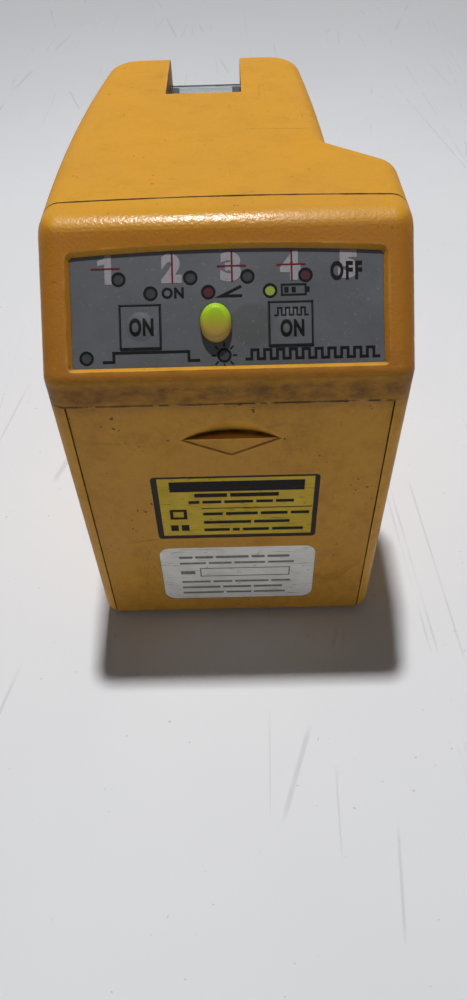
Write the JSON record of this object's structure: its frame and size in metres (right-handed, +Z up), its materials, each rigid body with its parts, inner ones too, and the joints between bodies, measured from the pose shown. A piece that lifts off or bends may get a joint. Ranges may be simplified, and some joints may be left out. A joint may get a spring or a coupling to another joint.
{
  "type": "self-levelling cross-line laser level",
  "caption": "Free-standing cross-line laser level with a sloped key panel, hinged battery door, wrap-round beam window, gimballed pendulum inside and a tripod socket below.",
  "frame": {"origin": "middle of the base rectangle, at the underside of the rubber feet", "axes": "+Z up; -Y is the user's side with the key panel and battery door; +Y is the side the laser lines leave by; +X is to the user's right"},
  "size_m": [0.089, 0.1352, 0.128],
  "materials": {
    "front_cover": "fine pebble-grained ABS",
    "rear_body": "fine pebble-grained ABS",
    "base_plate": "dark moulded ABS",
    "tripod_bush": "turned",
    "rubber_feet": "moulded",
    "base_screws": "black oxide",
    "cover_screws": "zinc plated",
    "beam_window": "clear",
    "window_gasket": "moulded",
    "control_overlay": "printed polyester film",
    "status_lights": "tinted window",
    "key_switches": "moulded",
    "level_vial": "tinted dome",
    "vial_seat": "moulded",
    "keypad_board": "solder mask",
    "keypad_screws": "zinc plated",
    "battery_tray": "moulded ABS",
    "battery_cells": "printed sleeve",
    "battery_contacts": "nickel plated",
    "hinge_pins": "drawn",
    "chassis": "zinc die casting",
    "chassis_screws": "zinc plated",
    "tilt_contact_ring": "stamped",
    "board_spacers": "turned",
    "main_board": "solder mask",
    "board_screws": "zinc plated",
    "board_components": "epoxy",
    "outer_bearings": "ground",
    "magnet_holder": "moulded",
    "damper_magnets": "nickel plated",
    "battery_door": "fine pebble-grained ABS",
    "door_pad": "foam",
    "key_on": "domed film",
    "key_pulse": "domed film",
    "gimbal_ring": "machined",
    "outer_pins": "ground",
    "inner_pins": "ground",
    "pendulum_head": "machined",
    "inner_bearings": "ground",
    "laser_barrels": "turned",
    "diode_caps": "black anodised",
    "collimator_lenses": "polished",
    "lens_caps": "black anodised",
    "rod_lenses": "polished",
    "trim_screws": "turned",
    "pendulum_rod": "ground",
    "pendulum_bob": "turned",
    "damper_disc": "machined"
  },
  "bodies": {
    "housing": {"front_cover": "front_cover", "rear_body": "rear_body", "base_plate": "base_plate", "tripod_bush": "tripod_bush", "rubber_feet": "rubber_feet", "base_screws": "base_screws", "cover_screws": "cover_screws", "beam_window": "beam_window", "window_gasket": "window_gasket", "control_overlay": "control_overlay", "status_lights": "status_lights", "key_switches": "key_switches", "level_vial": "level_vial", "vial_seat": "vial_seat", "keypad_board": "keypad_board", "keypad_screws": "keypad_screws", "battery_tray": "battery_tray", "battery_cells": "battery_cells", "battery_contacts": "battery_contacts", "hinge_pins": "hinge_pins", "chassis": "chassis", "chassis_screws": "chassis_screws", "tilt_contact_ring": "tilt_contact_ring", "board_spacers": "board_spacers", "main_board": "main_board", "board_screws": "board_screws", "board_components": "board_components", "outer_bearings": "outer_bearings", "magnet_holder": "magnet_holder", "damper_magnets": "damper_magnets"},
    "door": {"battery_door": "battery_door", "door_pad": "door_pad"},
    "on_key": {"key_on": "key_on"},
    "pulse_key": {"key_pulse": "key_pulse"},
    "gimbal": {"gimbal_ring": "gimbal_ring", "outer_pins": "outer_pins", "inner_pins": "inner_pins"},
    "pendulum": {"pendulum_head": "pendulum_head", "inner_bearings": "inner_bearings", "laser_barrels": "laser_barrels", "diode_caps": "diode_caps", "collimator_lenses": "collimator_lenses", "lens_caps": "lens_caps", "rod_lenses": "rod_lenses", "trim_screws": "trim_screws", "pendulum_rod": "pendulum_rod", "pendulum_bob": "pendulum_bob", "damper_disc": "damper_disc"}
  },
  "joints": [
    {"name": "door_hinge", "type": "hinge", "parent": "housing", "child": "door", "pos_m": [0, -0.0631, 0.0048], "axis": [1, 0, 0], "range_deg": [0, 85]},
    {"name": "on_key_press", "type": "slide", "parent": "housing", "child": "on_key", "axis": [0, 0.6947, -0.7193], "range_m": [0, 0.0004], "stiffness_N_per_m": 5000},
    {"name": "pulse_key_press", "type": "slide", "parent": "housing", "child": "pulse_key", "axis": [0, 0.6947, -0.7193], "range_m": [0, 0.0004], "stiffness_N_per_m": 5000},
    {"name": "gimbal_pitch", "type": "hinge", "parent": "housing", "child": "gimbal", "pos_m": [-0.0061, 0.018, 0.103], "axis": [1, 0, 0], "range_deg": [-5, 5]},
    {"name": "pendulum_roll", "type": "hinge", "parent": "gimbal", "child": "pendulum", "pos_m": [-0.0061, 0.018, 0.103], "axis": [0, 1, 0], "range_deg": [-5, 5]}
  ]
}
